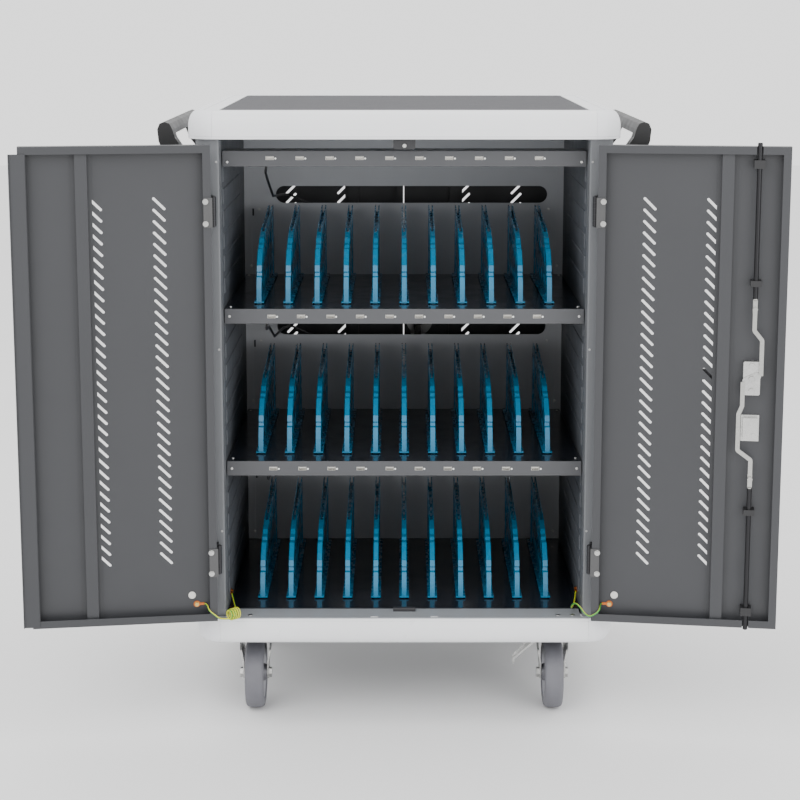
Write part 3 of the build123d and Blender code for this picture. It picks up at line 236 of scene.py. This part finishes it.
def door_frame(side):
    a = math.radians((180.0 + OPEN) if side > 0 else -OPEN)
    n = math.radians((90.0 + OPEN) if side > 0 else 90 - OPEN)
    u, v = Vector((math.cos(a), math.sin(a), 0)), Vector((math.cos(n), math.sin(n), 0))
    o = P(side * AX, AY, 0)
    return o, u, v


for nm, side, cap_u, lug_u in (("left_door_fittings", -1, 48, 40), ("right_door_fittings", 1, 44, 36)):
    o, u, v = door_frame(side)
    m = Mat("fittings_" + nm, lin(44, 44, 47), 0.38, 0.4, spread=0.10, grain=900, bump=0.22)
    m.zone(m.side(v, o.dot(v) + 0.02165), ZINC, 0.26, 1.0)
    at = lambda uu, vv, zz: o + u * (uu / 1000) + v * (vv / 1000) + Vector((0, 0, zz / 1000))
    m.zone(m.ball(at(lug_u - 4, 2, 228.6), 0.0125), COPPER, 0.3, 1.0)
    m.zone(m.ball(at(lug_u, 5.4, 228.6), 0.0046), lin(200, 176, 112), 0.28, 1.0)
    m.zone(m.ball(at(cap_u, 2.4, 244.6), 0.0075), lin(206, 205, 200), 0.42, 0.0)
    paint(m.done(), nm)

o, u, v = door_frame(1)
m = Mat("lock_zinc", lin(196, 196, 194), 0.28, 1.0, spread=0.08, cloud=22, grain=700, bump=0.16, rough_var=0.10)
zax = Vector((0, 0, 1))
m.zone(m.times(m.side(-v, -o.dot(v) - 0.0004), m.side(v, o.dot(v) - 0.01)), lin(34, 34, 37), 0.40, 0.2)
for z0, z1 in ((984, 1000), (223, 239), (789, 801), (399, 411)):
    m.zone(m.times(m.side(zax, z0 / 1000), m.side(-zax, -z1 / 1000)), lin(28, 28, 30), 0.45, 0.0)
paint(m.done(), "lock_case")
m = Mat("lever_metal", lin(40, 40, 43), 0.34, 0.2, spread=0.08, grain=1200, bump=0.20)
m.zone(m.side(v, o.dot(v) + 0.0005), ZINC, 0.30, 1.0)
paint(m.done(), "lock_lever")
for nm in ("upper_lock_rod", "lower_lock_rod"):
    m = Mat("rod_steel_" + nm, lin(40, 40, 42), 0.34, 0.7, spread=0.10, grain=800, bump=0.14)
    flat = m.side(v, o.dot(v) + 0.0179)
    m.zone(m.times(flat, m.side(-zax, -0.7695) if nm.startswith("upper") else m.side(zax, 0.4465)), lin(176, 176, 172), 0.28, 1.0)
    if nm.startswith("upper"):
        m.zone(m.times(m.side(zax, 0.6), m.side(-zax, -0.7435)), lin(176, 176, 172), 0.28, 1.0)
    else:
        m.zone(m.times(m.side(zax, 0.4735), m.side(-zax, -0.66)), lin(176, 176, 172), 0.28, 1.0)
    paint(m.done(), nm)
m = zinc("frame_screw_zinc")
for sx, yb in ((-1, 94.0), (1, 108.0)):
    m.zone(m.ball(P(sx * 309, yb + 8, 212), 0.0125), COPPER, 0.3, 1.0)
paint(m.done(), "frame_screws")

# wheels: grey tread, paler moulded hub, mould rings from the distance to the axle
for c, x, y in (("fl", -267, 134), ("fr", 267, 134), ("rl", -267, 516), ("rr", 267, 516)):
    m = Mat("wheel_rubber_" + c, lin(99, 99, 105), 0.58, spread=0.08, cloud=20, grain=900, bump=0.30)
    q = m.n("ShaderNodeVectorMath")
    q.operation = "SUBTRACT"
    m.t.links.new(m.pos, q.inputs[0])
    q.inputs[1].default_value = P(x, y - 34, 62.5)
    w = m.n("ShaderNodeVectorMath")
    w.operation = "MULTIPLY"
    m.t.links.new(q.outputs[0], w.inputs[0])
    w.inputs[1].default_value = (0, 1, 1)
    ln = m.n("ShaderNodeVectorMath")
    ln.operation = "LENGTH"
    m.t.links.new(w.outputs[0], ln.inputs[0])
    r = ln.outputs["Value"]
    m.zone(m.range(r, 0.0455, 0.0462, 1.0, 0.0), lin(158, 158, 164), 0.46)
    m.zone(m.range(r, 0.0160, 0.0166, 1.0, 0.0), lin(92, 92, 98), 0.40)
    paint(m.done(), "castor_wheel_" + c)


# ------------------------------------------------------------------ earth leads
def nurbs_points(name, pts):
    """Points along one smooth curve through the route, in metres."""
    cu = bpy.data.curves.new(name, "CURVE")
    cu.dimensions = "3D"
    cu.resolution_u = 10
    sp = cu.splines.new("NURBS")
    sp.points.add(len(pts) - 1)
    for i, p in enumerate(pts):
        sp.points[i].co = (*p, 1.0)
    sp.order_u = 3
    sp.use_endpoint_u = True
    ob = bpy.data.objects.new(name, cu)
    bpy.context.scene.collection.objects.link(ob)
    bpy.context.view_layer.update()
    me = bpy.data.meshes.new_from_object(ob)
    res = [v.co.copy() for v in me.vertices]
    bpy.data.objects.remove(ob)
    bpy.data.curves.remove(cu)
    bpy.data.meshes.remove(me)
    clean = [res[0]]
    for q in res[1:]:
        if (q - clean[-1]).length > 0.0004:
            clean.append(q)
    return clean


def tube(name, pts, r, sides=12):
    """Round insulated lead; the attribute 'around' runs 0 to 1 round it."""
    verts, around, faces = [], [], []
    t0 = (pts[1] - pts[0]).normalized()
    side = t0.orthogonal().normalized()
    prev = t0
    for i, p in enumerate(pts):
        a, b = pts[max(0, i - 1)], pts[min(len(pts) - 1, i + 1)]
        t = (b - a).normalized()
        side = (prev.rotation_difference(t) @ side).normalized()
        side = (side - t * side.dot(t)).normalized()
        up = t.cross(side)
        prev = t
        # the ends are drawn in a little where the insulation meets the lug
        rr = r * (0.86 if i in (0, len(pts) - 1) else 1.0)
        for k in range(sides):
            a = 2 * math.pi * k / sides
            verts.append(p + side * (rr * math.cos(a)) + up * (rr * math.sin(a)))
            around.append(k / sides)
    for i in range(len(pts) - 1):
        for k in range(sides):
            a, b = i * sides + k, i * sides + (k + 1) % sides
            faces.append((a, b, b + sides, a + sides))
    faces.append(tuple(reversed(range(sides))))
    base = (len(pts) - 1) * sides
    faces.append(tuple(base + k for k in range(sides)))
    me = bpy.data.meshes.new(name)
    me.from_pydata([tuple(v) for v in verts], [], faces)
    at = me.attributes.new("around", "FLOAT", "POINT")
    at.data.foreach_set("value", around)
    for f in me.polygons:
        f.use_smooth = len(f.vertices) == 4
    me.update()
    ob = bpy.data.objects.new(name, me)
    bpy.context.scene.collection.objects.link(ob)
    return ob


def lead_material(name):
    m = Mat(name, lin(206, 203, 38), 0.36, spread=0.06, cloud=60, grain=1800, bump=0.08, rough_var=0.06)
    at = m.n("ShaderNodeAttribute")
    at.attribute_name = "around"
    a = m.range(at.outputs["Fac"], 0.26, 0.32, 0.0, 1.0)
    b = m.range(at.outputs["Fac"], 0.66, 0.72, 1.0, 0.0)
    m.zone(m.times(a, b), lin(62, 148, 52), 0.36)
    return m.done()


LEFT_A = [(-345.4, -14.6, 228.6), (-341.4, -17.8, 228.4), (-338.6, -24.9, 226.5), (-335.6, -34.3, 222.5), (-327.2, -36.8, 216.5),
          (-318.4, -34.6, 208.4), (-311.1, -26.2, 204.8)]
LEFT_B = [(-294.2, -0.5, 204.0), (-293, 8, 200.9), (-294, 22, 201), (-297, 40, 202.2), (-301, 60, 204.2), (-305, 78, 208), (-308.4, 93.4, 212)]
RIGHT = [(341.6, -14.1, 228.6), (338.8, -18.0, 228.8), (337.4, -25.4, 227.4), (335.6, -34.5, 223), (327.4, -37.2, 216.5), (318.4, -34.8, 211.8),
         (310.5, -28.5, 215.5), (304.5, -20, 223.5), (298, -10.5, 228), (293, 0.5, 223.5), (291, 13, 213.5), (293.5, 29, 206.2), (298.5, 48, 203.8),
         (302.5, 70, 204.8), (305.8, 90, 208.4), (308.4, 107.4, 212)]
# the coiled stretch: axis, then its turns; it opens out of the lead at one end and back into it at the other
c0, ax = Vector((-304.0, -24.9, 211.0)), Vector((0.722, 0.692, 0.0)).normalized()
down, across = Vector((0, 0, -1)), Vector((0.692, -0.722, 0.0)).normalized()
coil = []
TURNS, STEPS = 4.75, 16
total = int(TURNS * STEPS)
for i in range(total + 1):
    f = i / total
    turn = f * TURNS
    r = 9.2
    if turn < 0.8:
        r = 6.6 + (9.2 - 6.6) * (turn / 0.8)
    a = 2 * math.pi * turn
    coil.append(tuple(c0 + ax * (1.3 + 20.0 * f) + down * (r * math.cos(a)) + across * (r * math.sin(a))))
left_pts = nurbs_points("left_route", [P(*p) for p in LEFT_A + coil + LEFT_B])
right_pts = nurbs_points("right_route", [P(*p) for p in RIGHT])


def route_length(pts):
    return sum((b - a).length for a, b in zip(pts, pts[1:]))


for name, pts, body, nodes in (("earth_lead_left", left_pts, "front_left_leaf", ("left_earth_lead", "left_earth_coil")),
                               ("earth_lead_right", right_pts, "front_right_leaf", ("right_earth_lead",))):
    ob = tube(name, pts, 0.0013)
    paint(lead_material(name + "_insulation"), ob)
    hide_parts(*nodes)
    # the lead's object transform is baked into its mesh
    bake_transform(ob)
    print(name, "length", round(route_length(pts), 4), "points", len(pts))
for nm in ("left_earth_lead", "left_earth_coil", "right_earth_lead"):
    paint(Mat("hidden_" + nm, lin(160, 190, 40), 0.4, spread=0.06).done(), nm)


# ------------------------------------------------------------------ floor and light
def sheet(name, corners, color, rough):
    me = bpy.data.meshes.new(name)
    me.from_pydata(corners, [], [(0, 1, 2, 3)])
    ob = bpy.data.objects.new(name, me)
    bpy.context.scene.collection.objects.link(ob)
    m = bpy.data.materials.new(name)
    m.use_nodes = True
    p = m.node_tree.nodes["Principled BSDF"]
    p.inputs["Base Color"].default_value = color
    p.inputs["Roughness"].default_value = rough
    me.materials.append(m)
    return ob


sheet("floor", [(-9, -9, -0.0004), (9, -9, -0.0004), (9, 12, -0.0004), (-9, 12, -0.0004)], (0.86, 0.86, 0.86, 1), 0.7)

world = bpy.data.worlds.new("studio")
bpy.context.scene.world = world
world.use_nodes = True
world.node_tree.nodes["Background"].inputs[0].default_value = (1, 1, 1, 1)
world.node_tree.nodes["Background"].inputs[1].default_value = 1.75


def softbox(name, at, to, w, h, watts):
    ld = bpy.data.lights.new(name, "AREA")
    ld.shape = "RECTANGLE"
    ld.size, ld.size_y = w, h
    ld.energy = watts
    ob = bpy.data.objects.new(name, ld)
    bpy.context.scene.collection.objects.link(ob)
    ob.location = at
    ob.rotation_mode = "QUATERNION"
    ob.rotation_quaternion = (Vector(to) - Vector(at)).to_track_quat("-Z", "Y")


softbox("key", (-1.4, -2.6, 2.6), (0, 0, 0.6), 1.8, 1.8, 42)
softbox("fill", (1.9, -2.8, 1.3), (0, 0, 0.5), 1.6, 1.6, 34)
softbox("top", (0, 0.3, 3.2), (0, 0, 1.0), 2.4, 2.0, 24)
